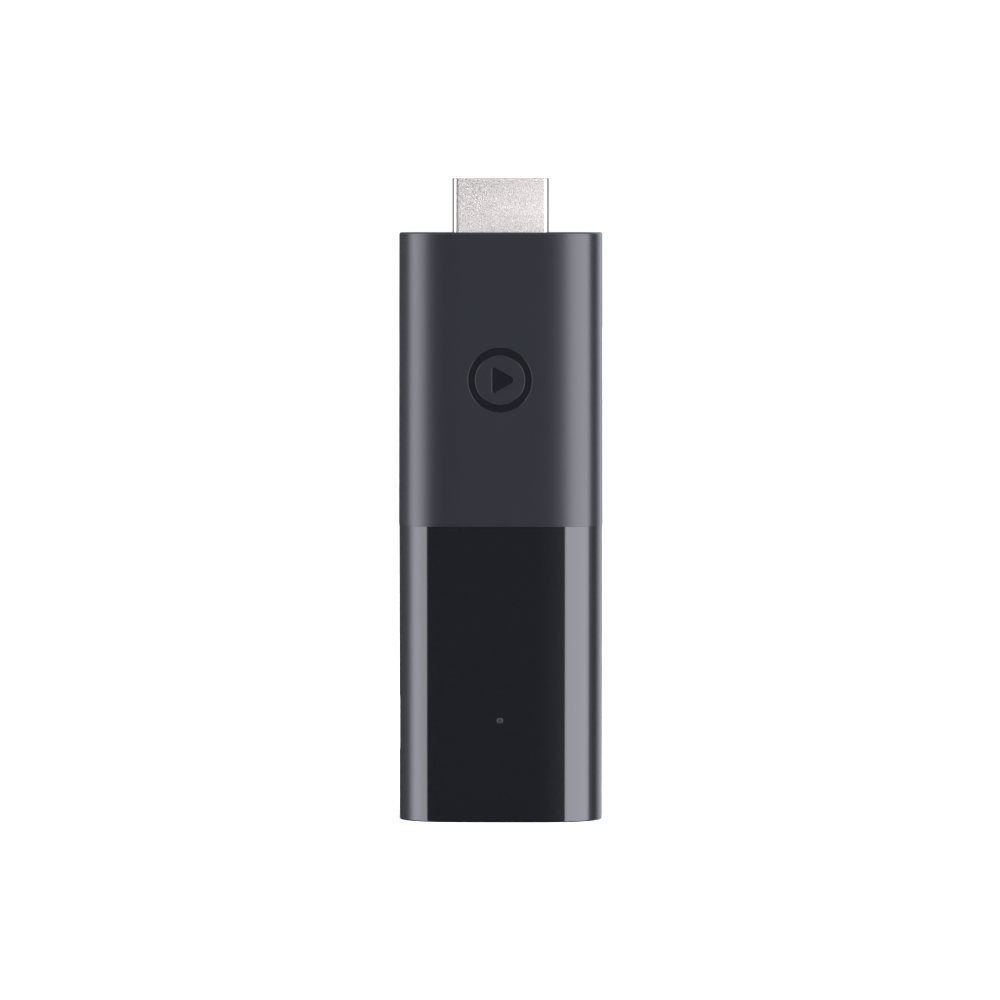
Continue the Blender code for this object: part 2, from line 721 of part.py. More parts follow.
def make_heat_path(finishes):
    """Screens over the chips, and soft pads that carry their heat to the two bent plates."""
    chip_top = BOARD_THICKNESS / 2 + SOLDER_GAP + PROCESSOR_HEIGHT
    lid_top = BOARD_THICKNESS / 2 + LID_LIFT + LID_SIZE[1]
    can_top = BOARD_THICKNESS / 2 + SOLDER_GAP + REAR_CAN_SIZE[1]
    plate = SPREADER_Y - SPREADER_SHEET
    pad = finishes["pad"]
    make_fence(finishes["screen"])
    make_screen_can("shield_lid", FRONT, FENCE_Z, LID_SIZE, LID_LIFT, finishes["screen"])
    make_screen_can("rear_shield_can", BACK, REAR_CAN_Z, REAR_CAN_SIZE, SOLDER_GAP, finishes["screen"])
    make_pad(
        "processor_pad",
        FRONT,
        chip_top,
        lid_top - SCREEN_SHEET,
        PROCESSOR_Z,
        PROCESSOR_PAD_SIZE,
        pad,
    )
    make_pad("lid_pad", FRONT, lid_top, plate, LID_PAD_Z, LID_PAD_SIZE, pad)
    make_pad("storage_pad", BACK, can_top, plate, REAR_CAN_Z, STORAGE_PAD_SIZE, pad)
    make_spreader("front_heat_spreader", FRONT, FRONT_SPREADER_Z, finishes["aluminium"])
    make_spreader("rear_heat_spreader", BACK, REAR_SPREADER_Z, finishes["aluminium"])


def make_electronics(finishes):
    """Chips, coils, capacitors, crystals, lamp and aerials, in their places on the board."""
    for name, face, x, z, size, corner, kind in SOLDERED:
        in_metres = [side * MM for side in size]
        stand_on_board(name, face, x * MM, z * MM, in_metres, corner * MM, finishes[kind])
    make_antenna("antenna_lower", LOWER_ANTENNA, finishes["nickel"])
    make_antenna("antenna_side", SIDE_ANTENNA, finishes["nickel"])


def hang_on_one_empty():
    """Parent every piece to one empty at the origin, so that the stick moves as a whole."""
    stick = bpy.data.objects.new("media_stick", None)
    bpy.context.scene.collection.objects.link(stick)
    for piece in bpy.data.objects:
        if piece is not stick:
            piece.parent = stick


def main():
    remove_everything()
    finishes = {
        "satin": finish("satin_black_plastic", (0.040, 0.043, 0.052), 0.42),
        "gloss": finish("gloss_black_plastic", (0.016, 0.017, 0.021), 0.06),
        "clear": finish("light_pipe_plastic", (0.35, 0.36, 0.38), 0.25),
        "steel": finish("plug_steel", (0.72, 0.70, 0.67), 0.32, 1.0),
        "liner": finish("plug_liner_plastic", (0.02, 0.02, 0.022), 0.45),
        "gold": finish("gilt_contact", (0.85, 0.62, 0.28), 0.25, 1.0),
        "board": finish("board_laminate", (0.015, 0.09, 0.05), 0.4),
        "chip": finish("chip_resin", (0.02, 0.02, 0.02), 0.55),
        "ferrite": finish("ferrite", (0.06, 0.06, 0.065), 0.6),
        "ceramic": finish("ceramic", (0.40, 0.27, 0.16), 0.5),
        "screen": finish("tinned_screen", (0.62, 0.62, 0.60), 0.35, 1.0),
        "nickel": finish("nickel_sheet", (0.70, 0.68, 0.62), 0.3, 1.0),
        "aluminium": finish("spreader_aluminium", (0.80, 0.81, 0.82), 0.4, 1.0),
        "pad": finish("heat_pad", (0.30, 0.34, 0.38), 0.8),
        "lamp": finish("lamp_resin", (0.85, 0.82, 0.55), 0.3),
        "hidden": finish("helper", (1.0, 0.0, 0.0), 1.0),
    }
    make_upper_sleeve(finishes["satin"], finishes["hidden"])
    make_lower_shell(finishes["gloss"], finishes["hidden"])
    make_light_pipe(finishes["clear"])
    make_plug_shell(finishes["steel"])
    make_plug_liner(finishes["liner"])
    make_video_contacts(finishes["gold"])
    make_inlet_shell(finishes["steel"])
    make_inlet_tongue(finishes["liner"])
    make_power_contacts(finishes["gold"])
    make_board(finishes["board"], finishes["hidden"])
    make_electronics(finishes)
    make_heat_path(finishes)
    hang_on_one_empty()


main()
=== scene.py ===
"""The finished look of a streaming media stick: a satin sleeve, a gloss shell and a bright video plug.

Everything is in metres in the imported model's frame: +Z runs up to the plug and the front looks along -Y.
"""

import bmesh
import bpy
import numpy as np
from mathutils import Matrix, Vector


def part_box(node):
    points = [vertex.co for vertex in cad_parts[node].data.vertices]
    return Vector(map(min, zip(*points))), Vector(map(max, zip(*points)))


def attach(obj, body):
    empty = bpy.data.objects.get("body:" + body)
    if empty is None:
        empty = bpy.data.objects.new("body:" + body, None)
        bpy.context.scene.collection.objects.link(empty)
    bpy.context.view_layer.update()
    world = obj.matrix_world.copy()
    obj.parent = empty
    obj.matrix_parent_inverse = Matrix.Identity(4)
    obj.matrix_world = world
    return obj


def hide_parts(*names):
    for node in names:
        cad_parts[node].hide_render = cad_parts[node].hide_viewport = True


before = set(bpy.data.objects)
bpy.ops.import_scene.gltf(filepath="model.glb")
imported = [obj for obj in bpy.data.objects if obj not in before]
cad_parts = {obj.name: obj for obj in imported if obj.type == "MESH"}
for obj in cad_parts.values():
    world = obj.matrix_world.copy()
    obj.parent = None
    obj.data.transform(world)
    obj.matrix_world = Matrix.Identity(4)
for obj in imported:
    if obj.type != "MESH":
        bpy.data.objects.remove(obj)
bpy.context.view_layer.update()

MM = 0.001
PI = np.pi

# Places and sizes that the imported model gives
SLEEVE_LOW, SLEEVE_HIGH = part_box("upper_sleeve")
SHELL_LOW, SHELL_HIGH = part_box("lower_shell")
PLUG_LOW, PLUG_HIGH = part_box("video_plug_shell")
LINER_LOW, LINER_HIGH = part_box("video_plug_insulator")
PIPE_LOW, PIPE_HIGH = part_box("led_light_pipe")
INLET_LOW, INLET_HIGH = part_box("power_socket_shell")
BOARD_LOW, BOARD_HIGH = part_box("main_board")

# Housing curve: flat front and back, superellipse sides that are a little fuller on the sleeve
HALF_WIDTH = SLEEVE_HIGH.x
HALF_THICK = SLEEVE_HIGH.y
FLAT_HALF = 5.0 * MM
SIDE_EXPONENT = 2.4
SLEEVE_EXPONENT = 2.52
SIDE_STEPS = 120
FLAT_STEPS = 22
WALL = 1.2 * MM
END_WALL = 1.4 * MM
SEAM_Z = SLEEVE_LOW.z
TOP_Z = SLEEVE_HIGH.z
SEAM_GAP = 0.005 * MM
SHELL_INSET = HALF_WIDTH - SHELL_HIGH.x
SLEEVE_DRAFT = 0.09 * MM
SHELL_DRAFT = 0.04 * MM
TOP_EDGE = 0.3 * MM
BASE_EDGE = 0.2 * MM
LIP_EDGE = 0.01 * MM
OPENING_EDGE = 0.12 * MM
NECK_INSET = 1.5 * MM
NECK_WALL = 0.8 * MM
NECK_TOP_Z = SHELL_HIGH.z
NECK_ROOT_Z = SEAM_Z - 3.0 * MM
NECK_LEAD = 1.0 * MM

# A row of points this far from an edge keeps the shading beside it flat
HOLD = 0.05 * MM

# Mark
MARK_Z = 63.7 * MM
MARK_RADIUS = 4.6 * MM
MARK_LINE = 1.0 * MM
MARK_TRIANGLE = 2.3 * MM
MARK_DEPTH = 0.06 * MM
MARK_BEVEL = 0.05 * MM
MARK_CORNER = 0.3 * MM
MARK_FLOOR_CORNER = 0.25 * MM
MARK_PATCH = 4.85 * MM
MARK_PATCH_STEPS = 66
PAST_PATCH = 5.3 * MM

# Light window
LIGHT_Z = (PIPE_LOW.z + PIPE_HIGH.z) / 2
LIGHT_RADIUS = 0.39 * MM
LIGHT_GAP = 0.05 * MM
LIGHT_EDGE = 0.05 * MM
LIGHT_PATCH_X = 1.2 * MM
LIGHT_PATCH_Z = 1.45 * MM
BESIDE_LIGHT = (2.0 * MM, 3.6 * MM)
PIPE_SINK = 0.04 * MM
PIPE_CROWN = 0.012 * MM
PIPE_SHOULDER = 1.45 * MM
PIPE_FLANGE = 0.6 * MM
PIPE_STEPS = 56

# Power inlet
INLET_Z = (INLET_LOW.z + INLET_HIGH.z) / 2
INLET_WIDTH = 7.5 * MM
INLET_HEIGHT = 2.5 * MM
INLET_SLOPE = 0.7 * MM
INLET_CORNER = 0.35 * MM
INLET_SHEET = 0.25 * MM
INLET_GAP = 0.08 * MM
INLET_EDGE = 0.2 * MM
# The mouth's rounded edge, in shares of INLET_EDGE: past the opening, and into the wall
INLET_ROUND = ((1.0, 0.0), (0.62, 0.08), (0.29, 0.29), (0.08, 0.62), (0.0, 1.0))
INLET_PATCH_Y = 2.3 * MM
INLET_PATCH_Z = 4.6 * MM
WING_WIDTH = 1.3 * MM
WING_BACK = 0.6 * MM
WING_FRONT = 2.6 * MM
SOLDER_GAP = 0.1 * MM

# Video plug
PLUG_WIDTH = PLUG_HIGH.x - PLUG_LOW.x
PLUG_HEIGHT = 4.45 * MM
PLUG_SLOPE = 1.8 * MM
PLUG_CORNER = 0.85 * MM
PLUG_SHEET = 0.3 * MM
PLUG_REAR_Z = 74.0 * MM
PLUG_GAP = 0.1 * MM
LEG_FRONT_Y = -1.5 * MM
LEG_BACK_Y = 0.2 * MM
LINER_GAP = 0.02 * MM
LINER_EDGE = 0.12 * MM
LINER_HALF = 7 * MM
SLOT_WIDTH = 11.2 * MM
SLOT_HEIGHT = 1.9 * MM
SLOT_CORNER = 0.2 * MM

# Small plates: their rounded edges, and the air that they keep to the sheet they belong to
PLATE_EDGE = 0.04 * MM
TOUCH = 0.01 * MM

# Camera
CAMERA_DISTANCE = 1.0
CAMERA_TURN = np.radians(0.9)
CAMERA_HEIGHT = 89.0 * MM
CAMERA_AIM = Vector((-0.12 * MM, 0.0, 46.165 * MM))
LENS = 248.9
SENSOR = 36.0
NEAREST = 0.01
FARTHEST = 20

# Studio
FLOOR_Z = -0.02 * MM
FLOOR_HALF = 4.0
BRIGHTEST = 8.0
TOP_LIGHT = 0.7
AIR_COLOUR = (0.948, 0.960, 1.060, 1.0)
PLAIN_AIR = 1.05
OVERHEAD_PLACE = Vector((0.2, -0.5, 1.4))
OVERHEAD_SIZE = 1.6
OVERHEAD_POWER = 30


# Outlines


def arc_steps(count):
    """Shares 0 to 1 of a quarter turn, with count steps."""
    return np.linspace(0, PI / 2, count + 1)


def rounded(corners, radius, steps=8):
    """A polygon with arc corners: each arc is turned from one side's direction to the next by slerp."""
    corners = np.asarray(corners, float)
    back = np.roll(corners, 1, axis=0) - corners
    ahead = np.roll(corners, -1, axis=0) - corners
    back /= np.linalg.norm(back, axis=1)[:, None]
    ahead /= np.linalg.norm(ahead, axis=1)[:, None]
    half = np.arccos(np.clip((back * ahead).sum(axis=1), -1, 1)) / 2
    middle = back + ahead
    middle /= np.linalg.norm(middle, axis=1)[:, None]
    centre = corners + middle * (radius / np.sin(half))[:, None]
    first = corners + back * (radius / np.tan(half))[:, None] - centre
    last = corners + ahead * (radius / np.tan(half))[:, None] - centre
    sweep = (PI - 2 * half)[:, None, None]
    share = np.linspace(0, 1, steps + 1)[None, :, None]
    turned = np.sin((1 - share) * sweep) * first[:, None] + np.sin(share * sweep) * last[:, None]
    return (centre[:, None] + turned / np.sin(sweep)).reshape(-1, 2)


def rectangle(width, height):
    """Corners of a rectangle about the origin."""
    w, h = width / 2, height / 2
    return [(-w, -h), (w, -h), (w, h), (-w, h)]


def radial(outline, angle):
    """Where rays from the origin at these angles cross a star-shaped outline.

    A ray d crosses the side from P to Q at the distance (P x Q) / (d x (Q - P)).
    """
    bearing = np.arctan2(outline[:, 1], outline[:, 0])
    order = np.argsort(bearing)
    start = outline[order]
    along = np.roll(start, -1, axis=0) - start
    side = np.searchsorted(bearing[order], angle, side="right") - 1
    start, along = start[side], along[side]
    ray = np.stack([np.cos(angle), np.sin(angle)], axis=-1)
    cross = start[:, 0] * along[:, 1] - start[:, 1] * along[:, 0]
    reach = cross / (ray[:, 0] * along[:, 1] - ray[:, 1] * along[:, 0])
    return ray * reach[:, None]


def circle(radius, steps=96):
    """Points of a circle about the origin, or the corners of a regular polygon."""
    turn = np.arange(steps) * (2 * PI / steps)
    return radius * np.stack([np.cos(turn), np.sin(turn)], axis=1)


def plug_outline(inset, steps=8):
    """The plug's D: square corners on the front, corners cut at 45 degrees on the back."""
    w = PLUG_WIDTH / 2 - inset
    h = PLUG_HEIGHT / 2 - inset
    slope = PLUG_SLOPE - inset * (2 - np.sqrt(2))
    corners = [(-w, -h), (w, -h), (w, h - slope), (w - slope, h), (slope - w, h), (-w, h - slope)]
    return rounded(corners, PLUG_CORNER - inset, steps)


def inlet_outline(inset, steps=6):
    """The inlet's mouth, in y and z: a flat bar with two cut corners on the back."""
    h = INLET_HEIGHT / 2 - inset
    w = INLET_WIDTH / 2 - inset
    slope = INLET_SLOPE - inset * (2 - np.sqrt(2))
    corners = [(-h, -w), (h - slope, -w), (h, slope - w), (h, w - slope), (h - slope, w), (-h, w)]
    return rounded(corners, INLET_CORNER - inset / 2, steps)


# Meshes


class Skin:
    """Points and faces gathered as whole arrays. Each face carries the number of its finish."""

    def __init__(self):
        self.points = np.zeros((0, 3))
        self.faces = []
        self.finish = []

    def add(self, points):
        """Add an array of points of any shape (..., 3), and give back their numbers in that shape."""
        flat = np.asarray(points, float).reshape(-1, 3)
        numbers = len(self.points) + np.arange(len(flat))
        self.points = np.concatenate([self.points, flat])
        return numbers.reshape(np.shape(points)[:-1])

    def cover(self, faces, finish=0):
        """Add an array of faces, one row of point numbers for each."""
        self.faces += faces.tolist()
        self.finish += [finish] * len(faces)

    def grid(self, numbers, keep=None, finish=0):
        """Quads between the rows of a grid of point numbers whose columns close on themselves."""
        right = np.roll(numbers, -1, axis=1)
        quads = np.stack([numbers[:-1], right[:-1], right[1:], numbers[1:]], axis=-1)
        self.cover(quads[keep] if keep is not None else quads.reshape(-1, 4), finish)

    def pole(self, ring, centre, finish=0):
        """A fan of triangles from a closed ring to a point at its middle."""
        tip = np.full(len(ring), self.add([centre])[0])
        self.cover(np.stack([ring, np.roll(ring, -1), tip], axis=-1), finish)

    def piece(self, name, materials, sharp=40.0):
        """One smooth-shaded mesh object with its faces turned outwards."""
        mesh = bpy.data.meshes.new(name)
        mesh.from_pydata(self.points.tolist(), [], self.faces)
        mesh.polygons.foreach_set("material_index", np.array(self.finish, np.int32))
        for material in materials:
            mesh.materials.append(material)
        tidy = bmesh.new()
        tidy.from_mesh(mesh)
        bmesh.ops.recalc_face_normals(tidy, faces=tidy.faces)
        tidy.to_mesh(mesh)
        tidy.free()
        mesh.shade_smooth()
        mesh.set_sharp_from_angle(angle=np.radians(sharp))
        made = bpy.data.objects.new(name, mesh)
        bpy.context.scene.collection.objects.link(made)
        return made


def settle(piece, slot, *nodes):
    """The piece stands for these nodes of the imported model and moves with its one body."""
    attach(piece, "root")
    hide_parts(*nodes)
    return piece


# Housing


class Columns:
    """Where the columns of a housing grid run: x along the two flats, and turns round the two sides."""

    def __init__(self, front, exponent=SIDE_EXPONENT, left=None):
        self.front = front
        self.power = 2 / exponent
        self.back = np.linspace(FLAT_HALF, -FLAT_HALF, FLAT_STEPS)[1:-1]
        self.right = np.linspace(-PI / 2, PI / 2, SIDE_STEPS + 1)
        self.left = self.right if left is None else left
        self.count = len(self.front) + len(self.right) + len(self.back) + len(self.left)

    def ring(self, inset):
        """|x|^m + |y|^m = 1 beyond the flats, with the whole outline moved in by the inset."""
        reach = HALF_WIDTH - FLAT_HALF - inset
        deep = HALF_THICK - inset

        def side(turn):
            x = FLAT_HALF + reach * np.abs(np.cos(turn)) ** self.power
            y = deep * np.sign(turn) * np.abs(np.sin(turn)) ** self.power
            return np.stack([x, y], axis=1)

        front = np.stack([self.front, np.full_like(self.front, -deep)], axis=1)
        back = np.stack([self.back, np.full_like(self.back, deep)], axis=1)
        return np.concatenate([front, side(self.right), back, -side(self.left)])

    def rings(self, profile):
        """The profile's rings in space: one for each (inset, z)."""
        return np.stack([np.column_stack([self.ring(i), np.full(self.count, z)]) for i, z in profile])


def side_surface_x(y, inset):
    """How far the housing's left side reaches at a depth y, from the same superellipse."""
    reach = HALF_WIDTH - FLAT_HALF - inset
    deep = HALF_THICK - inset
    return -FLAT_HALF - reach * (1 - np.abs(y / deep) ** SIDE_EXPONENT) ** (1 / SIDE_EXPONENT)


def loop_of(numbers, rows, columns):
    """The point numbers round a rectangle of a grid, once round."""
    (r0, r1), (c0, c1) = rows, columns
    return np.concatenate(
        [
            numbers[r0:r1, c1],
            numbers[r1, c1:c0:-1],
            numbers[r1:r0:-1, c0],
            numbers[r0, c0:c1],
        ]
    )


def window(skin, numbers, keep, rows, columns, plane, centre, outlines, lift):
    """Open a rectangle of a grid and lead it by rings to a hole of another outline.

    The rings run along the rays from the centre through the rectangle's points. Each entry of outlines is
    (outline, depth, finish), an outline about the centre in the plane's two directions.
    """
    keep[rows[0]:rows[1], columns[0]:columns[1]] = False
    loop = loop_of(numbers, rows, columns)
    angle = np.arctan2(*(skin.points[loop][:, plane] - centre).T[::-1])
    last = loop
    for outline, depth, finish in outlines:
        ring = skin.add(lift(radial(outline, angle) + centre, depth))
        skin.grid(np.stack([last, ring]), finish=finish)
        last = ring
    return last


def eased(radius):
    """A quarter round between a flat face and a wall: (1 - sin, 1 - cos) times the radius."""
    turn = arc_steps(4)
    return zip(radius * (1 - np.sin(turn)), radius * (1 - np.cos(turn)))


def span(values, low, high):
    """The first and last index of the values that lie between two limits."""
    inside = np.flatnonzero((values >= low - 1e-9) & (values <= high + 1e-9))
    return inside[0], inside[-1]


def mark_outlines():
    """The mark, from outside in: a recessed ring, and a recessed triangle with a flat between them."""
    inner = MARK_RADIUS - MARK_LINE
    outer_corner = MARK_CORNER + MARK_BEVEL
    return [
        (circle(MARK_RADIUS + 2 * MARK_BEVEL), 0, 0),
        (circle(MARK_RADIUS + MARK_BEVEL), 0, 0),
        (circle(MARK_RADIUS), MARK_DEPTH, 1),
        (circle(MARK_RADIUS - MARK_BEVEL), MARK_DEPTH, 1),
        (circle(inner + MARK_BEVEL), MARK_DEPTH, 1),
        (circle(inner), MARK_DEPTH, 1),
        (circle(inner - MARK_BEVEL), 0, 1),
        (circle(inner - 2 * MARK_BEVEL), 0, 0),
        (rounded(circle(MARK_TRIANGLE + 4 * MARK_BEVEL, 3), outer_corner), 0, 0),
        (rounded(circle(MARK_TRIANGLE + 2 * MARK_BEVEL, 3), outer_corner), 0, 0),
        (rounded(circle(MARK_TRIANGLE, 3), MARK_CORNER), MARK_DEPTH, 1),
        (rounded(circle(MARK_TRIANGLE - 2 * MARK_BEVEL, 3), MARK_FLOOR_CORNER), MARK_DEPTH, 1),
    ]


def make_sleeve(satin, polished):
    """The satin half: lip, drafted outer wall, rounded top edge, end face with the opening, inner wall.

    The wall's inset grows with height as SLEEVE_DRAFT * (z - SEAM_Z) / (TOP_Z - SEAM_Z).
    """
    patch = np.linspace(-MARK_PATCH, MARK_PATCH, MARK_PATCH_STEPS + 1)
    columns = Columns(patch, SLEEVE_EXPONENT)
    top = TOP_Z - TOP_EDGE
    inner_top = TOP_Z - END_WALL

    def drafted(z):
        return SLEEVE_DRAFT * (z - SEAM_Z) / (TOP_Z - SEAM_Z)

    outer_z = np.concatenate(
        [
            np.linspace(SEAM_Z + LIP_EDGE + HOLD, MARK_Z - PAST_PATCH, 12),
            MARK_Z + patch,
            np.linspace(MARK_Z + PAST_PATCH, top - HOLD, 12),
        ]
    )
    profile = [
        (WALL + HOLD, inner_top),
        (WALL, inner_top - HOLD),
        (WALL, SEAM_Z + HOLD),
        (WALL, SEAM_Z),
        (LIP_EDGE + HOLD, SEAM_Z),
        *[(inset, SEAM_Z + rise) for inset, rise in eased(LIP_EDGE)],
    ]
    first_outer = len(profile)
    profile += [(drafted(z), z) for z in outer_z]
    turn = arc_steps(6)
    profile += list(zip(SLEEVE_DRAFT + TOP_EDGE * (1 - np.cos(turn)), top + TOP_EDGE * np.sin(turn)))
    profile += [(SLEEVE_DRAFT + TOP_EDGE + HOLD, TOP_Z)]
    walls = columns.rings(profile)
    angle = np.arctan2(walls[-1][:, 1], walls[-1][:, 0])

    def opening(gap, z):
        flat = radial(plug_outline(-gap, 16), angle)
        return np.column_stack([flat, np.full(len(flat), z)])

    mouth = [
        opening(PLUG_GAP + OPENING_EDGE + HOLD, TOP_Z),
        *[opening(PLUG_GAP + gap, TOP_Z - drop) for gap, drop in eased(OPENING_EDGE)],
        opening(PLUG_GAP, TOP_Z - OPENING_EDGE - HOLD),
        opening(PLUG_GAP, inner_top),
    ]
    skin = Skin()
    numbers = skin.add(np.concatenate([walls, np.stack(mouth)]))
    keep = np.ones((len(numbers) - 1, columns.count), bool)
    rows = [first_outer + i for i in span(outer_z, MARK_Z - MARK_PATCH, MARK_Z + MARK_PATCH)]

    def lift(flat, depth):
        return np.column_stack([flat[:, 0], drafted(flat[:, 1]) + depth - HALF_THICK, flat[:, 1]])

    middle = np.array([0.0, MARK_Z])
    across = (0, len(patch) - 1)
    last = window(skin, numbers, keep, rows, across, [0, 2], middle, mark_outlines(), lift)
    skin.pole(last, lift(middle[None], MARK_DEPTH)[0], finish=1)
    skin.grid(numbers, keep)
    skin.grid(np.stack([numbers[-1], numbers[0]]))
    return settle(skin.piece("satin_sleeve", [satin, polished]), "satin_plastic", "upper_sleeve")


def shell_profile(inlet_rows):
    """The gloss half's section as (inset, z), from the floor inside, up, over the neck, down and under.

    Gives back the section, the number of its first inner and first outer row of the inlet's patch, and the
    wall's inset as a function of z, which grows from the shoulder down by SHELL_DRAFT.
    """
    base = SHELL_INSET + SHELL_DRAFT
    shoulder = SEAM_Z - SEAM_GAP
    inner = SHELL_INSET + WALL
    neck_inner = NECK_INSET + NECK_WALL

    def drafted(z):
        return base - SHELL_DRAFT * z / shoulder

    profile = [(inner + HOLD, END_WALL), (inner, END_WALL + HOLD)]
    inner_first = len(profile)
    profile += [(inner, z) for z in inlet_rows]
    profile += [
        (inner, NECK_ROOT_Z),
        (neck_inner, SEAM_Z - NECK_LEAD),
        (neck_inner, NECK_TOP_Z - HOLD),
        (neck_inner - HOLD, NECK_TOP_Z),
        (NECK_INSET + HOLD, NECK_TOP_Z),
        (NECK_INSET, NECK_TOP_Z - HOLD),
        (NECK_INSET, shoulder + HOLD),
        (NECK_INSET - HOLD, shoulder),
        (SHELL_INSET + LIP_EDGE + HOLD, shoulder),
        *[(SHELL_INSET + inset, shoulder - drop) for inset, drop in eased(LIP_EDGE)],
    ]
    above = np.linspace(shoulder - LIP_EDGE - HOLD, inlet_rows[-1] + MM, 12)
    below = np.linspace(inlet_rows[0] - MM, BASE_EDGE + HOLD, 5)
    outer_first = len(profile) + len(above)
    profile += [(drafted(z), z) for z in np.concatenate([above, inlet_rows[::-1], below])]
    turn = arc_steps(8)
    profile += list(zip(base + BASE_EDGE * (1 - np.cos(turn)), BASE_EDGE * (1 - np.sin(turn))))
    profile += [(base + BASE_EDGE + HOLD, 0.0)]
    return profile, inner_first, outer_first, drafted


def make_shell(gloss):
    """The gloss half: rounded base, outer wall, shoulder, neck and inner wall, with its two openings."""
    inner_inset = SHELL_INSET + WALL
    patch = np.linspace(-LIGHT_PATCH_X, LIGHT_PATCH_X, 17)
    near, far = BESIDE_LIGHT
    front = np.concatenate([[-far, -near], patch, [near, far]])
    depth_share = np.linspace(-1, 1, 25) * INLET_PATCH_Y / (HALF_THICK - SHELL_INSET)
    over_inlet = np.sign(depth_share) * np.arcsin(np.abs(depth_share) ** (SIDE_EXPONENT / 2))
    beside = np.linspace(over_inlet[-1], PI / 2, 50)[1:]
    columns = Columns(front, left=np.concatenate([-beside[::-1], over_inlet, beside]))
    inlet_rows = np.linspace(INLET_Z - INLET_PATCH_Z, INLET_Z + INLET_PATCH_Z, 33)
    light_rows = span(inlet_rows, LIGHT_Z - LIGHT_PATCH_Z, LIGHT_Z + LIGHT_PATCH_Z)
    profile, inner_first, outer_first, drafted = shell_profile(inlet_rows)
    skin = Skin()
    numbers = skin.add(columns.rings(profile))
    keep = np.ones((len(numbers) - 1, columns.count), bool)
    final = len(inlet_rows) - 1
    front_columns = (len(BESIDE_LIGHT), len(BESIDE_LIGHT) + len(patch) - 1)
    left_start = columns.count - len(columns.left) + len(beside)
    left_columns = (left_start, left_start + len(over_inlet) - 1)

    def lift_front(flat, inset):
        return np.column_stack([flat[:, 0], np.full(len(flat), inset - HALF_THICK), flat[:, 1]])

    def lift_left(flat, inset):
        return np.column_stack([side_surface_x(flat[:, 0], inset), flat])

    def pierce(outer_rows, inner_rows, over, plane, centre, outer, inner, lift):
        """Open the outer and the inner wall at one place and join the two holes by a wall."""
        outer_ring = window(skin, numbers, keep, outer_rows, over, plane, centre, outer, lift)
        inner_ring = window(skin, numbers, keep, inner_rows, over, plane, centre, inner, lift)
        skin.grid(np.stack([outer_ring, matching(skin, outer_ring, inner_ring)]))

    hole = LIGHT_RADIUS + LIGHT_GAP
    outside = drafted(LIGHT_Z)
    pierce(
        [outer_first + final - i for i in light_rows[::-1]],
        [inner_first + i for i in light_rows],
        front_columns,
        [0, 2],
        np.array([0.0, LIGHT_Z]),
        [
            (circle(hole + 4 * LIGHT_EDGE), outside, 0),
            (circle(hole + 2 * LIGHT_EDGE), outside, 0),
            (circle(hole + LIGHT_EDGE), outside, 0),
            (circle(hole + LIGHT_EDGE / 3), outside + LIGHT_EDGE / 3, 0),
            (circle(hole), outside + LIGHT_EDGE, 0),
            (circle(hole), outside + 2 * LIGHT_EDGE, 0),
        ],
        [(circle(hole + LIGHT_EDGE), inner_inset, 0), (circle(hole), inner_inset, 0)],
        lift_front,
    )
    gap = INLET_GAP
    edge = INLET_EDGE
    outside = drafted(INLET_Z)
    pierce(
        (outer_first, outer_first + final),
        (inner_first, inner_first + final),
        left_columns,
        [1, 2],
        np.array([0.0, INLET_Z]),
        [
            (inlet_outline(-gap - 2.0 * edge), outside, 0),
            (inlet_outline(-gap - 1.2 * edge), outside, 0),
            *[(inlet_outline(-gap - out * edge), outside + into * edge, 0) for out, into in INLET_ROUND],
            (inlet_outline(-gap), outside + 1.4 * edge, 0),
        ],
        [(inlet_outline(-gap - edge / 2), inner_inset, 0), (inlet_outline(-gap), inner_inset, 0)],
        lift_left,
    )
    skin.grid(numbers, keep)
    skin.pole(numbers[0], (0, 0, END_WALL))
    skin.pole(numbers[-1], (0, 0, 0))
    return settle(skin.piece("gloss_shell", [gloss]), "gloss_plastic", "lower_shell")


def matching(skin, ring, other):
    """The other ring's numbers in the order and sense of the first ring, by nearest points."""
    here, there = skin.points[ring], skin.points[other]
    start = np.argmin(np.linalg.norm(there - here[0], axis=1))
    forward = np.roll(other, -start)
    backward = np.roll(other[::-1], -(len(other) - 1 - start))
    distances = [np.linalg.norm(skin.points[order] - here, axis=1).sum() for order in (forward, backward)]
    return forward if distances[0] <= distances[1] else backward


def make_light_window(clear):
    """The light pipe as a turned pin about Y, with a gently domed end in the gloss wall."""
    outer_y = SHELL_INSET - HALF_THICK + PIPE_SINK
    wall_back = PIPE_LOW.y + PIPE_SHOULDER
    flange_back = wall_back + PIPE_FLANGE
    end_y = PIPE_HIGH.y
    radius = LIGHT_RADIUS
    dome = 0.1 * radius
    flange = (PIPE_HIGH.x - PIPE_LOW.x) / 2
    turn = arc_steps(5)
    profile = [
        (0.45 * radius, outer_y - 5 / 6 * PIPE_CROWN),
        *zip(radius - dome * (1 - np.sin(turn)), outer_y + dome * (1 - np.cos(turn))),
        (radius, wall_back),
        (radius + HOLD, wall_back),
        (flange - HOLD, wall_back),
        (flange, wall_back + HOLD),
        (flange, flange_back),
        (2 * radius, flange_back),
        (2 * radius, end_y - HOLD),
        (2 * radius - HOLD, end_y),
    ]
    centre = (0.0, LIGHT_Z)
    skin = Skin()
    numbers = skin.add([np.insert(circle(r, PIPE_STEPS) + centre, 1, y, axis=1) for r, y in profile])
    skin.grid(numbers)
    skin.pole(numbers[0], (0, outer_y - PIPE_CROWN, LIGHT_Z))
    skin.pole(numbers[-1], (0, end_y, LIGHT_Z))
    return settle(skin.piece("light_window", [clear]), "clear_plastic", "led_light_pipe")


# Plug and inlet


